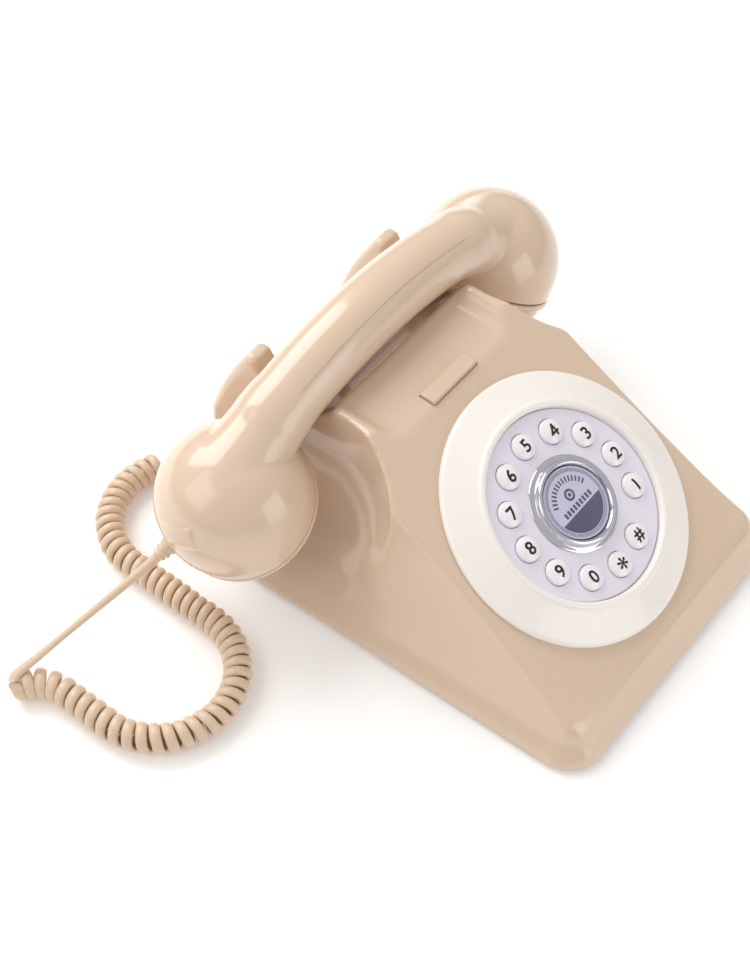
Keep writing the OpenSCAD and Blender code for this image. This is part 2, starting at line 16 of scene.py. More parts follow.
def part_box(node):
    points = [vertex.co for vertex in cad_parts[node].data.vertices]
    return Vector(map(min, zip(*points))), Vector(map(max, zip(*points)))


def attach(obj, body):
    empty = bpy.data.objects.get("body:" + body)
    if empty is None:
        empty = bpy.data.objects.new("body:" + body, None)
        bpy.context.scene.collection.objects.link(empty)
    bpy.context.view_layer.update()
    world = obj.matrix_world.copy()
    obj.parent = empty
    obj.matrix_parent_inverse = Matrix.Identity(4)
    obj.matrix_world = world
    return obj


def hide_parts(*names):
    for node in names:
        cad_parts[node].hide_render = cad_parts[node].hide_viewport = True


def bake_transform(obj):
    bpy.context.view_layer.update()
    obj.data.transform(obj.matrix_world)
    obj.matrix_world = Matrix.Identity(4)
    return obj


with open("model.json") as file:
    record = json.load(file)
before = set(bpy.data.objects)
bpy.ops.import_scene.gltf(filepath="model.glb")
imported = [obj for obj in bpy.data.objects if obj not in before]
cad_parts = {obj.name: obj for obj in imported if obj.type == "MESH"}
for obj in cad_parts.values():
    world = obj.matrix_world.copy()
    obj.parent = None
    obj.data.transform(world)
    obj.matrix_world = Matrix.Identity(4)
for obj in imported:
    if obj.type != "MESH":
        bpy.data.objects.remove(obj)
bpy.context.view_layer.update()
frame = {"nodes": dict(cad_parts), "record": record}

MM = 0.001

# The sloping face and the dial's own axes.
SLOPE = math.radians(30)
FACE_X = Vector((1, 0, 0))
FACE_UP = Vector((0, math.cos(SLOPE), math.sin(SLOPE)))
FACE_OUT = Vector((0, -math.sin(SLOPE), math.cos(SLOPE)))


def middle(node):
    """Centre of a CAD node's box, in millimetres."""
    low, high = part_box(node)
    return (low + high) / 2 / MM


# Sizes read from the CAD nodes, or shared by several pieces.
PLATE_N = 6.3   # height of the keypad plate above the dial's origin
DIAL = middle("keypad_plate") - FACE_OUT * (PLATE_N - 0.65)
CUP_R = 33.5
CUP_TILT = math.radians(32)
HANDSET_Y = middle("handset_upper_shell").y
ARCH_R = 200.0
HANDLE_R = 15.0
HANDLE_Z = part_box("handset_upper_shell")[1].z / MM - HANDLE_R
CUP_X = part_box("handset_upper_shell")[1].x / MM - CUP_R
CUP_Z = HANDLE_Z - 40.4
TROUGH = (HANDSET_Y + 1.5, HANDLE_Z, 21.5)
EAR_Z = 89.0
SADDLE_Z = 84.5
BAR_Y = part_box("push_bar")[0].y / MM + 3.5
REAR_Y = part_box("body_cover")[1].y / MM
COIL_R = 6.8
COIL_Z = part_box("coil_cord")[0].z / MM + COIL_R
KEYS = ["key_1", "key_2", "key_3", "key_4", "key_5", "key_6", "key_7", "key_8", "key_9", "key_0",
        "key_star", "key_hash"]
GLYPHS = "1234567890*#"


# ---- meshes ----

def face_frame():
    """Matrix from the dial's own frame (x right, y up the slope, z out) to the part's frame."""
    m = Matrix.Identity(4)
    for column, axis in enumerate((FACE_X, FACE_UP, FACE_OUT)):
        for row in range(3):
            m[row][column] = axis[row]
    m.translation = DIAL
    return m


def cup_frame(side):
    """Matrix from a cup's own frame, z out through its cap, to the part's frame."""
    turn = Matrix.Rotation(math.pi + side * CUP_TILT, 4, "Y")
    return Matrix.Translation((side * CUP_X, HANDSET_Y, CUP_Z)) @ turn


def new_object(name, points, faces, material, matrix=None, sharp=35):
    """An object from points in millimetres, smooth shaded up to the sharp angle."""
    mesh = bpy.data.meshes.new(name)
    points = np.asarray(points, float)
    if matrix is not None:
        m = np.array(matrix, float)
        points = points @ m[:3, :3].T + m[:3, 3]
    mesh.from_pydata((points * MM).tolist(), [], [list(map(int, f)) for f in faces])
    mesh.validate()
    obj = bpy.data.objects.new(name, mesh)
    bpy.context.scene.collection.objects.link(obj)
    mesh.materials.append(material)
    shade(mesh, sharp)
    return obj


def shade(mesh, sharp):
    """Smooth shading, with edges sharper than that angle kept crisp."""
    mesh.polygons.foreach_set("use_smooth", [True] * len(mesh.polygons))
    mesh.set_sharp_from_angle(angle=math.radians(sharp))
    mesh.update()


def bake(obj, sharp=35):
    """Applies an object's modifiers."""
    bpy.context.view_layer.update()
    graph = bpy.context.evaluated_depsgraph_get()
    mesh = bpy.data.meshes.new_from_object(obj.evaluated_get(graph))
    obj.modifiers.clear()
    obj.data = mesh
    shade(mesh, sharp)
    return obj


def lathe(name, profile, material, matrix, segments=128, sharp=35):
    """Turns a closed profile of (radius, height) around z."""
    points, rings = [], []
    for r, h in profile:
        if r < 1e-6:
            rings.append([len(points)] * segments)
            points.append((0, 0, h))
            continue
        rings.append(list(range(len(points), len(points) + segments)))
        for i in range(segments):
            a = 2 * math.pi * i / segments
            points.append((r * math.cos(a), r * math.sin(a), h))
    faces = []
    for k in range(len(rings)):
        low, high = rings[k], rings[(k + 1) % len(rings)]
        for i in range(segments):
            j = (i + 1) % segments
            face = []
            for index in (low[i], low[j], high[j], high[i]):
                if index not in face:
                    face.append(index)
            if len(face) > 2:
                faces.append(face)
    return outward(new_object(name, points, faces, material, matrix, sharp), sharp)


def outward(obj, sharp=35):
    """Makes every face look outwards."""
    bm = bmesh.new()
    bm.from_mesh(obj.data)
    bmesh.ops.recalc_face_normals(bm, faces=bm.faces)
    bm.to_mesh(obj.data)
    bm.free()
    shade(obj.data, sharp)
    return obj


def rounded(profile, radius=0.5, steps=4):
    """Rounds every corner of a profile of points by about that radius."""
    out = []
    count = len(profile)
    for i, corner in enumerate(profile):
        p, a, b = (np.array(q, float) for q in (corner, profile[i - 1], profile[(i + 1) % count]))
        if p[0] < 1e-6:
            out.append(tuple(p))
            continue
        back = min(radius, 0.45 * np.linalg.norm(a - p))
        ahead = min(radius, 0.45 * np.linalg.norm(b - p))
        start = p + (a - p) / max(np.linalg.norm(a - p), 1e-9) * back
        end = p + (b - p) / max(np.linalg.norm(b - p), 1e-9) * ahead
        for k in range(steps + 1):
            t = k / steps
            out.append(tuple((1 - t) ** 2 * start + 2 * t * (1 - t) * p + t * t * end))
    return out


def tube(name, path, radii, material, sides=12, wide=None, broad=1.0):
    """A tube along a list of points, with a radius per point, stretched by broad along wide."""
    path = np.asarray(path, float)
    tangent = np.gradient(path, axis=0)
    tangent /= np.linalg.norm(tangent, axis=1)[:, None]
    normal = np.cross(tangent[0], (0.0, 0.0, 1.0))
    if np.linalg.norm(normal) < 1e-3:
        normal = np.array((1.0, 0.0, 0.0))
    points = []
    for i, (p, t, r) in enumerate(zip(path, tangent, np.broadcast_to(radii, len(path)))):
        if wide is not None:
            normal = wide[i]
        normal = normal - t * (normal @ t)
        normal /= np.linalg.norm(normal)
        other = np.cross(t, normal)
        stretch = np.broadcast_to(broad, len(path))[i]
        for k in range(sides):
            a = 2 * math.pi * k / sides
            points.append(p + r * (stretch * math.cos(a) * normal + math.sin(a) * other))
    faces = [list(range(sides))[::-1], [(len(path) - 1) * sides + k for k in range(sides)]]
    for i in range(len(path) - 1):
        for k in range(sides):
            j = (k + 1) % sides
            faces.append([i * sides + k, i * sides + j, (i + 1) * sides + j, (i + 1) * sides + k])
    return new_object(name, points, faces, material, sharp=50)


# ---- distance fields ----

def soft_max(a, b, k):
    """Larger of two fields, blended over a width of about k."""
    h = np.clip(0.5 + 0.5 * (a - b) / k, 0, 1)
    return b * (1 - h) + a * h + k * h * (1 - h)


def soft_min(a, b, k):
    """Smaller of two fields, blended over a width of about k."""
    return -soft_max(-a, -b, k)


def outline_distance(u, v, corners):
    """Signed distance to a closed outline, negative inside."""
    best, inside = None, None
    count = len(corners)
    for i in range(count):
        (ax, ay), (bx, by) = corners[i], corners[(i + 1) % count]
        ex, ey = bx - ax, by - ay
        t = np.clip(((u - ax) * ex + (v - ay) * ey) / (ex * ex + ey * ey), 0, 1)
        d = (u - ax - t * ex) ** 2 + (v - ay - t * ey) ** 2
        crosses = ((ay > v) != (by > v)) & (u < ax + (v - ay) * ex / (ey if ey else 1e-12))
        best = d if best is None else np.minimum(best, d)
        inside = crosses if inside is None else inside ^ crosses
    return np.sqrt(best) * np.where(inside, -1, 1)


def arc(x, y, r, start, end, steps=14):
    """Points along an arc around (x, y), angles in degrees."""
    angles = np.radians(np.linspace(start, end, steps + 1))
    return [(x + r * math.cos(a), y + r * math.sin(a)) for a in angles]


def mirrored(points):
    """A half outline completed by its mirror image in x."""
    return points + [(-x, y) for x, y in reversed(points)]


# The body's outlines: from the side (y, z), from above (x, y), across the saddle (x, z).
SKIRT = 86.5
SIDE = [(-112, -4), (-112, 5.3), (32.9, EAR_Z), (HANDSET_Y, EAR_Z), (HANDSET_Y, 78.7),
        (REAR_Y - 31.6, 78.7), (REAR_Y - 21.6, 60), (REAR_Y - 9.6, 32), (REAR_Y - 1.6, 8),
        (REAR_Y + 0.4, -4)]
PLAN = mirrored(arc(SKIRT - 22.5, -87, 17, -90, -2) + [(SKIRT - 0.2, 62)]
                + arc(SKIRT - 30, REAR_Y - 23.6, 28, 4, 90))
# Height, and how far the side stands in from the outline there.
FLARE = [(-4, 0), (1.5, 0.7), (8, 5.6), (15, 9.2), (21.5, 12), (30, 14.4), (45, 17.4), (60, 19.7),
         (78.5, 22), (101, 24.5)]
SADDLE = mirrored(arc(34, SADDLE_Z + 12, 12, -90, 0) + [(46.2, 130)])
HORN = [(84, 60), (84, 84), (93.5, 92.3), (98.2, 92.3), (100.4, 89.8), (106, 79.5),
        (111.3, 68.5), (115.4, 57.6), (119.7, 44.8), (REAR_Y - 2.2, 32), (REAR_Y - 3.4, 13),
        (REAR_Y - 11.6, 13)]
HORN_X = 44.0
HORN_HALF = 6.5
# The hollow under each end of the handset: x, first y, last y, z and radius.
CHEEK = (97.0, 47.0, 66.0, 64.5, 50.0)


def flare(z):
    """How far the side stands in from the base's outline at that height."""
    heights, insets = zip(*FLARE)
    soft = [np.interp(z + shift, heights, insets) for shift in (-3, -1.5, 0, 1.5, 3)]
    return sum(soft) / 5


def body_field(x, y, z):
    """The moulded body: sloping wedge with flared skirt, horns, scooped cheeks, trough and saddle."""
    solid = soft_max(outline_distance(x, y, PLAN) + flare(z), outline_distance(y, z, SIDE), 3.2)
    horn = soft_max(outline_distance(y, z, HORN), np.abs(np.abs(x) - HORN_X) - HORN_HALF, 4.0)
    solid = soft_min(solid, horn, 3.0)
    cx, y0, y1, cz, r = CHEEK
    dy = y - np.clip(y, y0, y1)
    scoop = np.sqrt((np.abs(x) - cx) ** 2 + dy ** 2 + np.minimum(z - cz, 0) ** 2) - r
    solid = soft_max(solid, -scoop, 1.6 + 12 * np.clip((52 - z) / 30, 0, 1))
    ty, tz, tr = TROUGH
    solid = soft_max(solid, tr - np.sqrt((y - ty) ** 2 + (z - tz) ** 2), 3.0)
    saddle = np.maximum(outline_distance(x, z, SADDLE), y - HANDSET_Y)
    return soft_max(solid, -saddle, 1.6)


def segment_distance(x, y, z, a, b, ra, rb):
    """Distance to a round bar between two points, its radius changing along it."""
    a, b = np.array(a, float), np.array(b, float)
    d = b - a
    t = np.clip(((x - a[0]) * d[0] + (y - a[1]) * d[1] + (z - a[2]) * d[2]) / (d @ d), 0, 1)
    gap = np.sqrt((x - a[0] - t * d[0]) ** 2 + (y - a[1] - t * d[1]) ** 2 + (z - a[2] - t * d[2]) ** 2)
    return gap - (ra + (rb - ra) * t)


def handset_field(x, y, z):
    """The handset's outside: arched handle, necks and round cups."""
    side = np.abs(x)
    depth = y - HANDSET_Y
    cz = HANDLE_Z - ARCH_R
    angle = np.clip(np.arctan2(side, z - cz), 0, math.radians(19))
    near = np.sqrt((side - ARCH_R * np.sin(angle)) ** 2 + (z - cz - ARCH_R * np.cos(angle)) ** 2)
    handle = np.sqrt(near ** 2 + depth ** 2) - HANDLE_R
    start = (ARCH_R * math.sin(math.radians(18)), 0, cz + ARCH_R * math.cos(math.radians(18)))
    neck = segment_distance(side, depth, z, start, (CUP_X + 3, 0, CUP_Z + 13), 14.8, 20.0)
    out = (-math.sin(CUP_TILT), 0, -math.cos(CUP_TILT))
    end = (CUP_X + 12 * out[0], 0, CUP_Z + 12 * out[2])
    ball = segment_distance(side, depth, z, (CUP_X, 0, CUP_Z), end, CUP_R, CUP_R)
    crease = 0.6 + 7.0 * np.clip((z - 88) / 13, 0, 1)
    return soft_min(soft_min(soft_min(handle, neck, 3.0), ball, crease), cord_tab(x, y, z), 0.8)


def cord_tab(x, y, z):
    """Low square pad on the mouthpiece's ball, over the cord's exit."""
    middle_way = Vector((-0.96, 0.04, 0.18)).normalized()
    over = middle_way.cross(Vector((0.085, -0.49, 0.25))).normalized()
    across = over.cross(middle_way)
    rel = (x + CUP_X, y - HANDSET_Y, z - CUP_Z)
    u, v, w = (sum(r * d for r, d in zip(rel, axis)) for axis in (across, over, middle_way))
    ball = np.sqrt(rel[0] ** 2 + rel[1] ** 2 + rel[2] ** 2) - CUP_R - 0.9
    pad = np.maximum(np.abs(u) - 8.0, np.abs(v) - 4.6)
    return soft_max(soft_max(ball, pad, 1.0), -w, 1.0)


def field_mesh(field, low, high, step):
    """Triangles of a field's zero surface, with every vertex moved onto it."""
    axes = [np.arange(a, b + step, step) for a, b in zip(low, high)]
    x, y, z = np.meshgrid(*axes, indexing="ij", sparse=True)
    values = np.ascontiguousarray(np.broadcast_to(field(x, y, z), [len(a) for a in axes]), np.float32)
    grid = openvdb.FloatGrid(background=10.0)
    grid.copyFromArray(values)
    points, tris, quads = grid.convertToPolygons(isovalue=0.0, adaptivity=0.0)
    points = points.astype(float) * step + np.array([a[0] for a in axes])
    for _ in range(4):
        points = points - newton_step(field, points, 0.6 * step)
    halves = np.concatenate([quads[:, [0, 1, 2]], quads[:, [0, 2, 3]]]).astype(int)
    return points, np.concatenate([halves, tris.astype(int)]) if len(tris) else halves


def newton_step(field, p, limit):
    """Step that moves points on to a field's zero surface, at most limit long."""
    h = 0.04
    value = field(p[:, 0], p[:, 1], p[:, 2])
    slope = np.empty_like(p)
    for k in range(3):
        q = p.copy()
        q[:, k] += h
        r = p.copy()
        r[:, k] -= h
        slope[:, k] = (field(q[:, 0], q[:, 1], q[:, 2]) - field(r[:, 0], r[:, 1], r[:, 2])) / (2 * h)
    step = slope * (value / np.maximum((slope ** 2).sum(1), 0.05))[:, None]
    length = np.linalg.norm(step, axis=1)
    return step * np.minimum(1, limit / np.maximum(length, 1e-9))[:, None]


def cut(points, tris, keep):
    """Keeps the part of a mesh where keep(points) is positive, cutting triangles along the boundary."""
    s = keep(points)
    inside = s[tris] > 0
    count = inside.sum(1)
    whole = tris[count == 3]
    new_points, made, cuts = [], {}, []

    def crossing(a, b):
        """Index of the new point where the edge from a to b meets the boundary."""
        key = (a, b) if a < b else (b, a)
        if key not in made:
            t = s[a] / (s[a] - s[b])
            made[key] = len(points) + len(new_points)
            new_points.append(points[a] + t * (points[b] - points[a]))
        return made[key]

    for tri, flags in zip(tris[(count == 1) | (count == 2)], inside[(count == 1) | (count == 2)]):
        lone = int(np.argmax(flags)) if flags.sum() == 1 else int(np.argmin(flags))
        a, b, c = (int(tri[(lone + k) % 3]) for k in range(3))
        ab, ac = crossing(a, b), crossing(a, c)
        if flags.sum() == 1:
            cuts.append((a, ab, ac))
        else:
            cuts += [(ab, b, c), (ab, c, ac)]
    points = np.concatenate([points, new_points]) if new_points else points
    tris = np.concatenate([whole, np.array(cuts, int)]) if cuts else whole
    used, index = np.unique(tris, return_inverse=True)
    return points[used], index.reshape(-1, 3)


def shell(name, points, tris, material, wall, sharp=40):
    """A moulding with that wall thickness, its outside where the points are."""
    obj = new_object(name, points, tris, material, sharp=180)
    bm = bmesh.new()
    bm.from_mesh(obj.data)
    bmesh.ops.remove_doubles(bm, verts=bm.verts, dist=0.02 * MM)
    bmesh.ops.dissolve_degenerate(bm, edges=bm.edges, dist=0.005 * MM)
    bm.to_mesh(obj.data)
    bm.free()
    solid = obj.modifiers.new("wall", "SOLIDIFY")
    solid.thickness = wall * MM
    solid.offset = -1
    return bake(obj, sharp)


def facing_out(points, tris, centre):
    """Flips a closed mesh if its triangles look inwards."""
    a, b, c = (points[tris[:, k]] - centre for k in range(3))
    return tris if np.einsum("ij,ij->i", a, np.cross(b, c)).sum() > 0 else tris[:, ::-1]


# ---- materials ----

def linear(*rgb):
    """Colour given as 0-255 screen values."""
    out = [c / 255 for c in rgb]
    return [(c / 12.92 if c <= 0.04045 else ((c + 0.055) / 1.055) ** 2.4) for c in out] + [1.0]


def material(name, colour, rough=0.35, metal=0.0, coat=0.0, vary=0.03, bump=0.02, scale=900.0, stretch=None):
    """A procedural surface: slow colour drift, fine grain in roughness and in height."""
    mat = bpy.data.materials.new(name)
    mat.use_nodes = True
    nodes, links = mat.node_tree.nodes, mat.node_tree.links
    surface = nodes["Principled BSDF"]
    where = nodes.new("ShaderNodeTexCoord")
    place = nodes.new("ShaderNodeMapping")
    place.inputs["Scale"].default_value = stretch or (1, 1, 1)
    links.new(where.outputs["Object"], place.inputs["Vector"])
    drift = nodes.new("ShaderNodeTexNoise")
    drift.inputs["Scale"].default_value = 14.0
    drift.inputs["Detail"].default_value = 4.0
    links.new(where.outputs["Object"], drift.inputs["Vector"])
    tint = nodes.new("ShaderNodeMix")
    tint.data_type = "RGBA"
    dark = [c * (1 - 2 * vary) for c in colour[:3]] + [1]
    light = [min(1, c * (1 + vary)) for c in colour[:3]] + [1]
    tint.inputs["A"].default_value, tint.inputs["B"].default_value = dark, light
    links.new(drift.outputs["Fac"], tint.inputs["Factor"])
    links.new(tint.outputs["Result"], surface.inputs["Base Color"])
    grain = nodes.new("ShaderNodeTexNoise")
    grain.inputs["Scale"].default_value = scale
    grain.inputs["Detail"].default_value = 3.0
    links.new(place.outputs["Vector"], grain.inputs["Vector"])
    sheen = nodes.new("ShaderNodeMapRange")
    sheen.inputs["To Min"].default_value = 0.85 * rough
    sheen.inputs["To Max"].default_value = 1.15 * rough
    links.new(grain.outputs["Fac"], sheen.inputs["Value"])
    links.new(sheen.outputs["Result"], surface.inputs["Roughness"])
    height = nodes.new("ShaderNodeBump")
    height.inputs["Strength"].default_value = bump
    height.inputs["Distance"].default_value = 0.0004
    links.new(grain.outputs["Fac"], height.inputs["Height"])
    links.new(height.outputs["Normal"], surface.inputs["Normal"])
    surface.inputs["Metallic"].default_value = metal
    surface.inputs["Coat Weight"].default_value = coat
    surface.inputs["Coat Roughness"].default_value = 0.06
    return mat


def clear_material(name):
    """Thin clear cover: mostly see-through with a soft reflection."""
    mat = bpy.data.materials.new(name)
    mat.use_nodes = True
    nodes, links = mat.node_tree.nodes, mat.node_tree.links
    nodes.remove(nodes["Principled BSDF"])
    through = nodes.new("ShaderNodeBsdfTransparent")
    through.inputs["Color"].default_value = (0.97, 0.97, 1.0, 1)
    shine = nodes.new("ShaderNodeBsdfGlossy")
    shine.inputs["Roughness"].default_value = 0.05
    edge = nodes.new("ShaderNodeLayerWeight")
    edge.inputs["Blend"].default_value = 0.15
    ripple = nodes.new("ShaderNodeTexNoise")
    ripple.inputs["Scale"].default_value = 60.0
    bump = nodes.new("ShaderNodeBump")
    bump.inputs["Strength"].default_value = 0.02
    bump.inputs["Distance"].default_value = 0.0005
    links.new(ripple.outputs["Fac"], bump.inputs["Height"])
    links.new(bump.outputs["Normal"], shine.inputs["Normal"])
    mix = nodes.new("ShaderNodeMixShader")
    links.new(edge.outputs["Facing"], mix.inputs["Fac"])
    links.new(through.outputs["BSDF"], mix.inputs[1])
    links.new(shine.outputs["BSDF"], mix.inputs[2])
    links.new(mix.outputs["Shader"], nodes["Material Output"].inputs["Surface"])
    return mat


BEIGE = linear(220, 194, 169)
LOOKS = {
    "shell": material("shell", BEIGE, 0.22, coat=0.6, vary=0.012, bump=0.003, scale=240),
    "ring": material("ring", linear(246, 240, 232), 0.3, coat=0.35, vary=0.008, bump=0.003, scale=240),
    "keypad_silver": material("keypad_silver", linear(240, 234, 246), 0.36, metal=0.2, vary=0.02, bump=0.02,
                              scale=1500),
    "key": material("key", linear(242, 238, 240), 0.22, coat=0.5, vary=0.008, bump=0.003, scale=300),
    "print": material("print", linear(24, 24, 26), 0.45, vary=0.05, bump=0.02, scale=2000),
    "chrome": material("chrome", linear(214, 212, 220), 0.09, metal=1.0, vary=0.02, bump=0.004, scale=300),
    "card": material("card", linear(238, 233, 243), 0.5, vary=0.02, bump=0.03, scale=2500),
    "card_grey": material("card_grey", linear(84, 84, 116), 0.5, vary=0.03, bump=0.03, scale=2500),
    "lens": clear_material("lens"),
    "steel": material("steel", linear(176, 176, 180), 0.28, metal=1.0, vary=0.05, bump=0.06, scale=900,
                      stretch=(1, 1, 12)),
    "plated_steel": material("plated_steel", linear(168, 168, 160), 0.36, metal=1.0, vary=0.08, bump=0.08,
                             scale=500, stretch=(8, 1, 1)),
    "membrane": material("membrane", linear(150, 150, 156), 0.6, vary=0.04, bump=0.06),
    "circuit_board": material("circuit_board", linear(38, 98, 62), 0.38, vary=0.12, bump=0.12, scale=600),
    "ribbon": material("ribbon", linear(196, 195, 188), 0.45, vary=0.05, bump=0.08, scale=500,
                       stretch=(6, 1, 1)),
    "black_plastic": material("black_plastic", linear(34, 34, 37), 0.42, vary=0.1, bump=0.08, scale=1400),
    "base": material("base", linear(58, 55, 52), 0.55, vary=0.08, bump=0.22, scale=1300),
    "rubber": material("rubber", linear(30, 30, 31), 0.75, vary=0.1, bump=0.18, scale=1600),
    "ballast": material("ballast", linear(92, 93, 98), 0.6, metal=0.6, vary=0.15, bump=0.3, scale=350),
    "brass": material("brass", linear(205, 165, 88), 0.2, metal=1.0, vary=0.06, bump=0.03, scale=400),
    "copper": material("copper", linear(168, 96, 58), 0.33, metal=0.9, vary=0.08, bump=0.3, scale=260,
                       stretch=(1, 1, 14)),
    "pale_plastic": material("pale_plastic", linear(222, 212, 200), 0.35, coat=0.15, vary=0.02, bump=0.03),
    "cord": material("cord", linear(219, 193, 165), 0.34, coat=0.25, vary=0.03, bump=0.012, scale=700),
    "lead": material("lead", linear(219, 196, 170), 0.34, coat=0.25, vary=0.02, bump=0.012, scale=700),
    # Parting line colour: darker than the shell as painted shade of the line's groove; the plastic itself is
    # one colour
    "seam": material("seam", linear(196, 166, 140), 0.4, vary=0.05, bump=0.02),
}


def stand_for(obj, node, body):
    """obj rides on the body and is shown in place of the CAD node."""
    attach(obj, body)
    if node:
        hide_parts(node)
    return obj


# ---- body ----

def build_body():
    """The body cover: a thin shell with its openings cut out."""
    points, tris = field_mesh(body_field, (-91, -108, -5), (91, REAR_Y + 4, 96), 1.0)
    tris = facing_out(points, tris, np.array((0, 0, 30.0)))
    openings = [lambda p: p[:, 2], outside_dial_hole, outside_bar_slot, outside_plunger_holes,
                outside_windows]
    for keep in openings:
        points, tris = cut(points, tris, keep)
    stand_for(shell("body_shell", points, tris, LOOKS["shell"], 2.4), "body_cover", "body")


# The functions below are negative inside an opening; FAR_OFF marks points that it can't reach.
FAR_OFF = 5.0


def outside_dial_hole(p):
    """Round hole under the dial ring."""
    rel = p - np.array(DIAL)
    out = rel @ np.array(FACE_OUT)
    across = np.linalg.norm(rel - np.outer(out, np.array(FACE_OUT)), axis=1)
    return np.where(np.abs(out) < 12, across - 50.0, FAR_OFF)


def outside_bar_slot(p):
    """Slot round the push bar."""
    edge = np.maximum(np.abs(p[:, 0]) - 15.4, np.abs(p[:, 1] - BAR_Y + 0.5) - 4.2)
    return np.where(p[:, 2] > 76, edge, FAR_OFF)


def outside_plunger_holes(p):
    """Two holes for the hook plungers."""
    edge = np.hypot(np.abs(p[:, 0]) - 24, p[:, 1] - HANDSET_Y) - 3.3
    return np.where(p[:, 2] > 60, edge, FAR_OFF)


def outside_windows(p):
    """Windows for the two sockets at the back."""
    edge = np.full(len(p), 9.0)
    for node in ("line_socket", "handset_socket"):
        half = (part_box(node)[1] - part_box(node)[0]) / MM / 2
        across = np.abs(p[:, 0] - middle(node).x) - half[0] - 0.2
        up = np.abs(p[:, 2] - middle(node).z) - half[2] - 0.2
        edge = np.minimum(edge, np.maximum(across, up))
    return np.where(p[:, 1] > REAR_Y - 14, edge, FAR_OFF)


def build_push_bar():
    """The push bar in the saddle, with softened edges."""
    bm = bmesh.new()
    bmesh.ops.create_cube(bm, size=1.0)
    size = (30.0, 7.6, 5.8)
    centre = (0, BAR_Y - 0.5, SADDLE_Z + 1.6 - size[2] / 2)
    for v in bm.verts:
        v.co = Vector([v.co[k] * size[k] + centre[k] for k in range(3)]) * MM
    bmesh.ops.bevel(bm, geom=bm.edges[:], offset=0.7 * MM, segments=4, profile=0.6, affect="EDGES")
    mesh = bpy.data.meshes.new("push_bar_top")
    bm.to_mesh(mesh)
    bm.free()
    mesh.materials.append(LOOKS["shell"])
    obj = bpy.data.objects.new("push_bar_top", mesh)
    bpy.context.scene.collection.objects.link(obj)
    shade(mesh, 45)
    stand_for(obj, "push_bar", "push_bar")


# ---- keypad ----

def build_dial():
    """Everything round that stays put on the dial: ring, plate, bezel, lens and card."""
    face = face_frame()
    ring = [(60.5, 0.0), (60.5, 2.1), (59.3, 3.0), (53, 5.4), (46.2, 8.0), (45.3, 8.9), (43.8, 9.1),
            (42.6, 8.2), (42.5, 5), (40.2, 5), (40.2, 1.4), (47, 1.4), (47, -5), (49.8, -5), (49.8, 0)]
    stand_for(lathe("cream_ring", rounded(ring, 0.6), LOOKS["ring"], face, 256), "dial_ring", "body")
    build_plate(face)
    bezel = [(0, PLATE_N + 1.2), (16.2, PLATE_N + 1.2), (16.5, PLATE_N + 2.6), (17.2, PLATE_N + 3.7),
             (18.3, PLATE_N + 3.4), (18.9, PLATE_N + 2.2), (19.3, PLATE_N + 1.0), (21.2, PLATE_N + 0.7),
             (21.9, PLATE_N + 0.05), (0, PLATE_N + 0.05)]
    stand_for(lathe("chrome_bezel", rounded(bezel, 0.5), LOOKS["chrome"], face, 192), "centre_bezel", "body")
    lens = [(0, 8.6), (15.9, 8.6), (15.9, 9.1), (12, 9.55), (8, 9.75), (4, 9.85), (0, 9.88)]
    stand_for(lathe("clear_lens", lens, LOOKS["lens"], face, 96, sharp=60), "centre_lens", "body")
    build_card(face)


def build_plate(face):
    """Silver plate: flat rings of faces with a round hole for every button, cut from a fine disc."""
    steps, rings = 360, 84
    radii = np.linspace(21.0, 42.3, rings)
    points, tris = [], []
    for r in radii:
        for i in range(steps):
            a = 2 * math.pi * i / steps
            points.append((r * math.cos(a), r * math.sin(a), PLATE_N - 0.9 * max(0, (r - 41.4) / 0.9) ** 2))
    for k in range(rings - 1):
        for i in range(steps):
            j = (i + 1) % steps
            a, b, c, d = k * steps + i, k * steps + j, (k + 1) * steps + j, (k + 1) * steps + i
            tris += [(a, d, c), (a, c, b)]
    points, tris = np.array(points, float), np.array(tris, int)
    for i in range(12):
        x, y = key_place(i)
        points, tris = cut(points, tris, lambda p: np.hypot(p[:, 0] - x, p[:, 1] - y) - 5.95)
    m = np.array(face, float)
    points = points @ m[:3, :3].T + m[:3, 3]
    stand_for(shell("silver_plate", points, tris, LOOKS["keypad_silver"], 1.2), "keypad_plate", "body")


def key_place(i):
    """Middle of a button on the dial, in the dial's own frame."""
    a = math.radians(-25.6 + 29 * i)
    return 32.1 * math.cos(a), 32.1 * math.sin(a)


def dome(r, top=9.1, sphere=10.5):
    """Height of a button's top at that distance from its middle."""
    return top - (sphere - math.sqrt(sphere * sphere - r * r))


def build_keys():
    """Twelve domed buttons with their printed characters."""
    face = face_frame()
    profile = [(r, dome(r)) for r in np.linspace(0, 4.9, 9)]
    profile += [(5.3, dome(4.9) - 0.25), (5.55, dome(4.9) - 0.7), (5.6, dome(4.9) - 1.3), (5.6, 4.8),
                (6.4, 4.6), (6.4, 3.4), (0, 3.4)]
    for i, (node, glyph) in enumerate(zip(KEYS, GLYPHS)):
        x, y = key_place(i)
        place = face @ Matrix.Translation((x, y, 0))
        stand_for(lathe(f"button_{node[4:]}", profile, LOOKS["key"], place, 64, 40), node, node)
        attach(build_glyph(f"glyph_{node[4:]}", glyph, place), node)


def slice_finely(mesh):
    """Cuts a flat mesh into small squares so that it can be bent over a dome."""
    bm = bmesh.new()
    bm.from_mesh(mesh)
    for axis in (Vector((1, 0, 0)), Vector((0, 1, 0))):
        for step in np.arange(-3.0, 9.0, 0.6):
            bmesh.ops.bisect_plane(bm, geom=bm.verts[:] + bm.edges[:] + bm.faces[:], plane_co=axis * step,
                                   plane_no=axis)
    bm.to_mesh(mesh)
    bm.free()


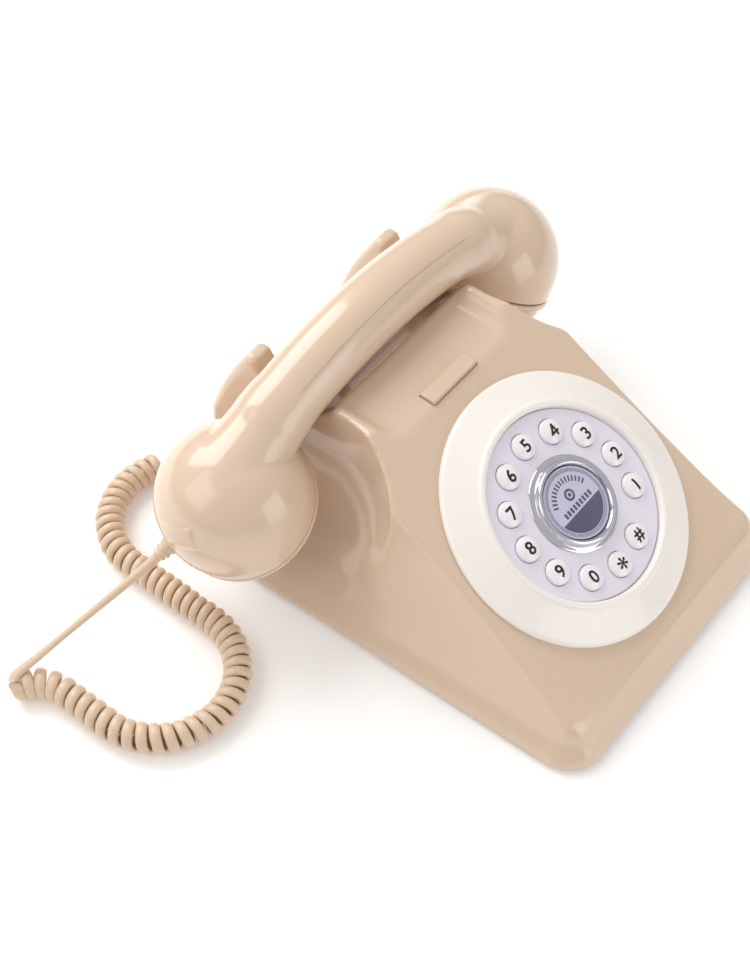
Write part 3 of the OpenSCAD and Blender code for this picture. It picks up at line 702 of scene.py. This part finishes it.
def typed(glyph):
    """Flat mesh of a character in the built-in typeface."""
    curve = bpy.data.curves.new("type", "FONT")
    curve.body = glyph
    curve.size = 12.0 if glyph == "*" else 8.0
    curve.offset = 0.15
    curve.extrude = 0.04
    curve.resolution_u = 6
    writer = bpy.data.objects.new("type", curve)
    bpy.context.scene.collection.objects.link(writer)
    bpy.context.view_layer.update()
    mesh = bpy.data.meshes.new_from_object(writer.evaluated_get(bpy.context.evaluated_depsgraph_get()))
    bpy.data.objects.remove(writer)
    return mesh


BOX_FACES = ((0, 4, 6, 2), (1, 3, 7, 5), (0, 1, 5, 4), (2, 6, 7, 3), (0, 2, 3, 1), (4, 5, 7, 6))


def drawn(strokes, half=0.5):
    """Flat mesh of a character made of straight strokes."""
    points, faces = [], []
    for a, b in strokes:
        a, b = np.array(a, float), np.array(b, float)
        run = (b - a) / np.linalg.norm(b - a)
        across = np.array((-run[1], run[0]))
        start = len(points)
        for end in (a - run * half, b + run * half):
            points += [(*(end - across * half), z) for z in (0.04, -0.04)]
            points += [(*(end + across * half), z) for z in (0.04, -0.04)]
        faces += [[start + k for k in face] for face in BOX_FACES]
    mesh = bpy.data.meshes.new("strokes")
    mesh.from_pydata(points, [], faces)
    return mesh


FOUR = [((0.9, 2.4), (0.9, -2.4)), ((0.9, 2.4), (-1.7, -1.0)), ((-1.7, -1.0), (1.9, -1.0))]


def build_glyph(name, glyph, place):
    """A printed character that follows the button's dome."""
    mesh = drawn(FOUR) if glyph == "4" else typed(glyph)
    slice_finely(mesh)
    co = np.array([v.co for v in mesh.vertices], float)
    co[:, :2] -= (co[:, :2].min(0) + co[:, :2].max(0)) / 2
    top = np.array([dome(min(4.8, math.hypot(*p[:2]))) for p in co])
    co[:, 2] = top + np.where(co[:, 2] > 0, 0.09, -0.15)
    faces = [list(p.vertices) for p in mesh.polygons]
    obj = new_object(name, co, faces, LOOKS["print"], place, 40)
    return obj


def printed(name, outlines, height, material_name, face, hole=None):
    """Thin ink patches with those outlines on the dial, optionally with a hole."""
    points, faces = [], []
    for outline in outlines:
        start, count = len(points), len(outline)
        points += [(x, y, height) for x, y in outline]
        if hole:
            points += [(x, y, height) for x, y in hole]
            faces += [[i, (i + 1) % count, count + (i + 1) % count, count + i] for i in range(count)]
        else:
            faces.append(list(range(start, start + count)))
    obj = new_object(name, points, faces, LOOKS[material_name], face, 180)
    ink = obj.modifiers.new("ink", "SOLIDIFY")
    ink.thickness = 0.02 * MM
    bake(obj, 40)
    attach(obj, "body")


def ticks(inner, outer, half, start, end, count):
    """Short radial bars around the card's middle."""
    bars = []
    for a in np.radians(np.linspace(start, end, count)):
        c, s = math.cos(a), math.sin(a)
        bars.append([(r * c - w * s, r * s + w * c)
                     for r, w in ((inner, -half), (outer, -half), (outer, half), (inner, half))])
    return bars


def build_card(face):
    """Printed card under the lens: plain rings, ticks, bars and dots, no lettering."""
    top = 8.42
    card = [(0, 8.1), (15.9, 8.1), (15.9, 8.4), (0, 8.4)]
    stand_for(lathe("label_card", card, LOOKS["card"], face, 96), "centre_card", "body")
    printed("label_rim", [arc(0, 0, 13.9, 0, 356, 89)], top, "card_grey", face, arc(0, 0, 13.7, 0, 356, 89))
    printed("label_hatching", ticks(14.0, 15.1, 0.16, 0, 357, 120), top, "card_grey", face)
    level = -3.4
    side = math.degrees(math.asin(level / 13.3))
    printed("label_segment", [arc(0, 0, 13.3, 180 - side, 360 + side, 40)], top, "card_grey", face)
    bars = [[(x - 0.65, -2.4), (x + 0.65, -2.4), (x + 0.65, 0.2), (x - 0.65, 0.2)]
            for x in np.linspace(-8.4, 8.4, 9)]
    printed("label_bars", bars, top, "card_grey", face)
    printed("label_ticks", ticks(9.4, 11.9, 0.42, 24, 156, 15), top, "card_grey", face)
    printed("label_dot", [arc(0, 4.3, 2.7, 0, 345, 24)], top, "card_grey", face)
    outer, inner = (arc(0, 4.3, radius, 0, 345, 24) for radius in (1.6, 0.9))
    printed("label_dot_ring", [outer], top + 0.03, "card", face, inner)


# ---- handset ----

def cup_depth(p):
    """How far a point lies along its own cup's axis, past the cup's centre."""
    side = np.abs(p[:, 0]) - CUP_X
    return -side * math.sin(CUP_TILT) - (p[:, 2] - CUP_Z) * math.cos(CUP_TILT)


def seam_side(p):
    """Positive above the handle's seam, negative in the strip that the lower shell covers."""
    cz = HANDLE_Z - ARCH_R
    r = np.hypot(p[:, 0], p[:, 2] - cz)
    angle = np.degrees(np.arctan2(np.abs(p[:, 0]), p[:, 2] - cz))
    return np.maximum(r - (ARCH_R - 3), (angle - 15) * 3.4)


def build_handset():
    """Upper and lower shells cut from one field, both caps and the parting line."""
    reach = CUP_X + CUP_R + 3
    low = (-reach, HANDSET_Y - CUP_R - 3, CUP_Z - CUP_R - 14)
    high = (reach, HANDSET_Y + CUP_R + 3, HANDLE_Z + HANDLE_R + 3)
    points, tris = field_mesh(handset_field, low, high, 1.1)
    tris = facing_out(points, tris, np.array((0, HANDSET_Y, CUP_Z)))
    points, tris = cut(points, tris, lambda p: np.where(p[:, 2] < CUP_Z + 12, 5.9 - cup_depth(p), 5.0))
    upper = cut(points, tris, lambda p: seam_side(p) - 0.09)
    lower = cut(points, tris, lambda p: -0.09 - seam_side(p))
    stand_for(shell("handset_upper", *upper, LOOKS["shell"], 2.0), "handset_upper_shell", "handset")
    stand_for(shell("handset_lower", *lower, LOOKS["shell"], 2.0), "handset_lower_shell", "handset")
    build_cap("earpiece_cap", 1, 1.5)
    build_cap("mouthpiece_cap", -1, 1.2)
    build_parting_line()


def build_parting_line():
    """Fine moulded line along the handle's front, above the seam, coloured darker than the shell as painted
    shade.
    """
    tilt = math.radians(38)
    out = (HANDLE_R - 0.12) * math.cos(tilt)
    angles = np.radians(np.linspace(-17.5, 17.5, 80))
    path = [((ARCH_R + out) * math.sin(a), HANDSET_Y - (HANDLE_R - 0.12) * math.sin(tilt),
             HANDLE_Z - ARCH_R + (ARCH_R + out) * math.cos(a)) for a in angles]
    radii = 0.27 * np.clip(np.minimum(np.linspace(0, 12, 80), np.linspace(12, 0, 80)), 0.1, 1)
    # The line's darker colour is painted shade of a groove, not a colour of the plastic
    line = tube("parting_line", path, radii, LOOKS["seam"], 8)
    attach(line, "handset")


def build_cap(node, side, hole):
    """Screw-on cap of one cup, with two circles of sound holes of that radius."""
    profile = [(31.0, 0.5), (31.0, 6.9), (33.4, 6.9), (33.95, 7.6), (33.9, 9.2), (33.1, 10.3),
               (32.5, 11.2), (31.6, 14), (30.4, 17), (29.2, 19.1), (27.6, 20), (25.6, 19.7), (22, 18.8),
               (12, 18.1), (0, 17.9), (0, 15.7), (24, 16.4), (27.6, 14.5), (28.2, 0.5)]
    cap = lathe(node + "_visible", rounded(profile, 0.7, 3), LOOKS["shell"], cup_frame(side), 144)
    places = [(0, 0)] + [(9 * math.cos(a), 9 * math.sin(a)) for a in np.radians(np.arange(0, 360, 60))]
    places += [(16 * math.cos(a), 16 * math.sin(a)) for a in np.radians(np.arange(15, 375, 30))]
    bm = bmesh.new()
    for x, y in places:
        made = bmesh.ops.create_cone(bm, cap_ends=True, segments=20, radius1=hole, radius2=hole, depth=12)
        for v in made["verts"]:
            v.co = (cup_frame(side) @ (v.co + Vector((x, y, 18)))) * MM
    mesh = bpy.data.meshes.new("drill")
    bm.to_mesh(mesh)
    bm.free()
    drill = bpy.data.objects.new("drill", mesh)
    bpy.context.scene.collection.objects.link(drill)
    holes = cap.modifiers.new("holes", "BOOLEAN")
    holes.object = drill
    holes.solver = "EXACT"
    bake(cap, 35)
    bpy.data.objects.remove(drill)
    stand_for(cap, node, "handset")


# ---- cord ----

def along(points, spacing):
    """Evenly spaced points along a polyline."""
    points = np.asarray(points, float)
    length = np.concatenate([[0], np.cumsum(np.linalg.norm(np.diff(points, axis=0), axis=1))])
    at = np.linspace(0, length[-1], max(2, int(length[-1] / spacing)))
    return np.stack([np.interp(at, length, points[:, k]) for k in range(points.shape[1])], 1)


def coil_path():
    """Middle line of the coiled cord where it lies on the table: an S that ends behind the phone."""
    line = arc(-201.3, 88, 20, 62, 0)
    line += arc(-148.5, 64, 32.8, 180, 360, 40)
    line += arc(-83.2, 109.5, 32.4, 179, 60, 26)
    return along(line, 1.0)


WIRE_R = 1.55
SAMPLES_PER_TURN = 26


def build_cord():
    """Flat-wound coil on the table, with a straight lead to the mouthpiece and a tail to the socket."""
    path = coil_path()
    helix_r = COIL_R - 1.6
    share = np.linspace(0, 1, 1500)
    length = np.linalg.norm(np.diff(path, axis=0), axis=1).sum()
    turns = np.concatenate([[0], np.cumsum(length / len(share) / coil_pitch(share)[1:])])
    share = np.interp(np.arange(0, turns[-1], 1 / SAMPLES_PER_TURN), turns, share)
    phase = 2 * math.pi * (np.arange(len(share)) / SAMPLES_PER_TURN + 0.15)
    at, index = share * (len(path) - 1), np.arange(len(path))
    centre = np.stack([np.interp(at, index, path[:, k]) for k in (0, 1)] + [np.full(len(share), COIL_Z)], 1)
    heading = np.gradient(centre, axis=0)
    heading /= np.linalg.norm(heading, axis=1)[:, None]
    side = np.stack([-heading[:, 1], heading[:, 0], np.zeros(len(share))], 1)
    rng = np.random.default_rng(7)
    radius = helix_r + np.interp(at, index[::6], rng.normal(-0.15, 0.14, len(index[::6])))
    helix = centre - side * (radius * np.sin(phase))[:, None]
    helix[:, 2] += radius * np.cos(phase)
    lead, tail = lead_line(centre[0], helix[0]), tail_line(heading[-1], helix[-1])
    lead_r = np.interp(np.linspace(0, 1, len(lead)), [0, 0.15, 0.5, 0.9, 1], [2.4, 2.1, 1.45, 1.6, WIRE_R])
    tail_r = np.linspace(WIRE_R, 1.8, len(tail))
    radii = np.concatenate([lead_r, np.full(len(helix), WIRE_R), tail_r])
    lead_broad = np.interp(np.linspace(0, 1, len(lead)), [0, 0.5, 0.9, 1], [1, 1.05, 1.7, 1.65])
    tail_broad = np.linspace(1.35, 1, len(tail))
    broad = np.concatenate([lead_broad, 0.44 * coil_pitch(share) / WIRE_R, tail_broad])
    wide = np.concatenate([turning(side[0], heading[0], len(lead), True), heading,
                           turning(heading[-1], np.array((0.0, 0, 1)), len(tail), False)])
    line = np.concatenate([lead, helix, tail])
    cord = tube("coiled_cord", line, radii, LOOKS["cord"], 14, wide, broad)
    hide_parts("coil_cord")
    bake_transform(cord)


def coil_pitch(share):
    """Distance between turns along the coil, wider where the cord has been stretched."""
    return np.interp(share, [0, 0.3, 0.6, 1], [5.9, 5.5, 4.8, 5.0])


def turning(first, last, count, late):
    """Directions that turn from first to last near the start of a run, or near its end."""
    t = np.clip(np.linspace(-6, 1, count) if late else np.linspace(0, 6, count), 0, 1)[:, None]
    return first * (1 - t) + last * t


def lead_line(tip, first):
    """From the mouthpiece down to the coil's end, where the cord folds back into its first turn."""
    start, away = cord_exit()
    top = tip + (0.5, 0.6, COIL_R - 1.2)
    run = (top - start) / np.linalg.norm(top - start)
    knots = [start + away, start + away * 14, (start + top) / 2 + (1, -0.4, 0), top - run * 14, top, first]
    return smooth_line(knots, 120)[:-1]


def tail_line(heading, last):
    """From the coil's last turn up into the plug."""
    plug = middle("cord_plug")
    knots = [last, last + heading * 4, (plug.x - 5, REAR_Y + 12.5, 9), (plug.x - 0.6, REAR_Y + 10.5, 10.5),
             (plug.x, REAR_Y + 6.5, 10.5)]
    return smooth_line(knots, 40)[1:]


def smooth_line(knots, count):
    """A smooth curve through a list of points."""
    knots = np.asarray(knots, float)
    padded = np.concatenate([[2 * knots[0] - knots[1]], knots, [2 * knots[-1] - knots[-2]]])
    out = []
    for u in np.linspace(0, len(knots) - 1 - 1e-9, count):
        i = int(u)
        t = u - i
        a, b, c, d = padded[i:i + 4]
        out.append(0.5 * (2 * b + (c - a) * t + (2 * a - 5 * b + 4 * c - d) * t * t
                          + (3 * b - a - 3 * c + d) * t ** 3))
    return np.array(out)


def cord_exit():
    """Where the cord leaves the mouthpiece, and its direction there."""
    target = np.array((coil_path()[0][0], coil_path()[0][1], COIL_Z))
    low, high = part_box("cord_grommet")
    start = np.array((high + low) / 2 / MM)
    away = target - start
    return start, away / np.linalg.norm(away)


def build_grommet():
    """Ribbed strain relief where the cord leaves the mouthpiece."""
    start, away = cord_exit()
    turn = Vector(away).to_track_quat("Z", "Y").to_matrix().to_4x4()
    place = Matrix.Translation(Vector(start)) @ turn
    profile = [(0, -6), (4.0, -6), (4.0, -1.2), (3.3, -0.8), (3.3, 0.2), (3.7, 0.5), (3.7, 1.4), (3.0, 1.8),
               (3.0, 2.6), (3.2, 2.9), (3.2, 3.5), (2.6, 4.0), (0, 4.0)]
    relief = lathe("cord_relief", rounded(profile, 0.25, 2), LOOKS["lead"], place, 40)
    stand_for(relief, "cord_grommet", "handset")


# ---- pieces kept from the CAD ----

def dress_frame():
    """Every CAD node that stays visible gets its slot's surface."""
    slots = {row["node"]: row["material_slot"] for row in frame["record"]["subparts"]}
    for name, obj in frame["nodes"].items():
        obj.data.materials.clear()
        obj.data.materials.append(LOOKS[slots[name]])


# ---- stage ----

FLOOR_HALF = 6   # metres


def build_stage():
    """Floor, lights and world; lengths in here are metres."""
    build_floor()
    area("key_light", (0.1, 0.95, 1.0), 1.0, 12.5, (1.0, 0.99, 0.98))
    area("left_light", (-0.9, 0.5, 0.8), 0.8, 3, (1.0, 0.99, 0.98))
    area("front_light", (0.2, -1.3, 0.4), 0.8, 4, (1.0, 0.985, 0.97))
    build_world()
    bpy.context.scene.view_settings.view_transform = "Standard"


def build_floor():
    """Plain pale floor at the level of the feet."""
    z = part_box("rubber_feet")[0].z
    corners = [(x * FLOOR_HALF, y * FLOOR_HALF, z) for x, y in ((-1, -1), (1, -1), (1, 1), (-1, 1))]
    mesh = bpy.data.meshes.new("floor")
    mesh.from_pydata(corners, [], [(0, 1, 2, 3)])
    mesh.materials.append(material("floor", linear(252, 251, 250), 0.8, vary=0.004, bump=0.01, scale=40))
    glow = mesh.materials[0].node_tree.nodes["Principled BSDF"]
    glow.inputs["Emission Color"].default_value = (1, 1, 1, 1)
    glow.inputs["Emission Strength"].default_value = 0.12
    floor = bpy.data.objects.new("floor", mesh)
    bpy.context.scene.collection.objects.link(floor)


def build_world():
    """White surroundings with a darker band low down, for the shiny pieces to reflect."""
    world = bpy.data.worlds.new("studio")
    bpy.context.scene.world = world
    world.use_nodes = True
    nodes, links = world.node_tree.nodes, world.node_tree.links
    sky = nodes["Background"]
    where = nodes.new("ShaderNodeTexCoord")
    part = nodes.new("ShaderNodeSeparateXYZ")
    ramp = nodes.new("ShaderNodeValToRGB")
    ramp.color_ramp.elements[0].position = 0.0
    ramp.color_ramp.elements[0].color = (0.55, 0.54, 0.53, 1)
    for position, grey in ((0.05, 0.4), (0.11, 0.4), (0.16, 0.9)):
        ramp.color_ramp.elements.new(position).color = (grey, grey, grey, 1)
    ramp.color_ramp.elements[-1].position = 0.8
    ramp.color_ramp.elements[-1].color = (1.0, 1.0, 1.0, 1)
    links.new(where.outputs["Generated"], part.inputs["Vector"])
    links.new(part.outputs["Z"], ramp.inputs["Fac"])
    links.new(ramp.outputs["Color"], sky.inputs["Color"])
    sky.inputs["Strength"].default_value = 0.61


def area(name, place, size, power, colour):
    """A square light aimed at the phone, in metres and watts."""
    data = bpy.data.lights.new(name, "AREA")
    data.size = size
    data.energy = power
    data.color = colour
    lamp = bpy.data.objects.new(name, data)
    lamp.location = place
    aim = Vector((0, 0, 0.05)) - Vector(place)
    lamp.rotation_euler = aim.to_track_quat("-Z", "Y").to_euler()
    bpy.context.scene.collection.objects.link(lamp)


def build_camera():
    """High three-quarter view from the phone's front left."""
    back = Vector((-0.4902, -0.3537, 0.7966)).normalized()
    up = Vector((0.6173, 0.5044, 0.6038))
    right = up.cross(back).normalized()
    up = back.cross(right)
    data = bpy.data.cameras.new("camera")
    data.lens = 66.39
    data.sensor_width = 36
    data.clip_start = 0.01
    camera = bpy.data.objects.new("camera", data)
    turn = Matrix((right, up, back)).transposed().to_4x4()
    camera.matrix_world = Matrix.Translation((-0.4175, -0.2373, 0.6579)) @ turn
    bpy.context.scene.collection.objects.link(camera)
    bpy.context.scene.camera = camera


dress_frame()
build_body()
build_push_bar()
build_dial()
build_keys()
build_handset()
build_grommet()
build_cord()
build_stage()
build_camera()
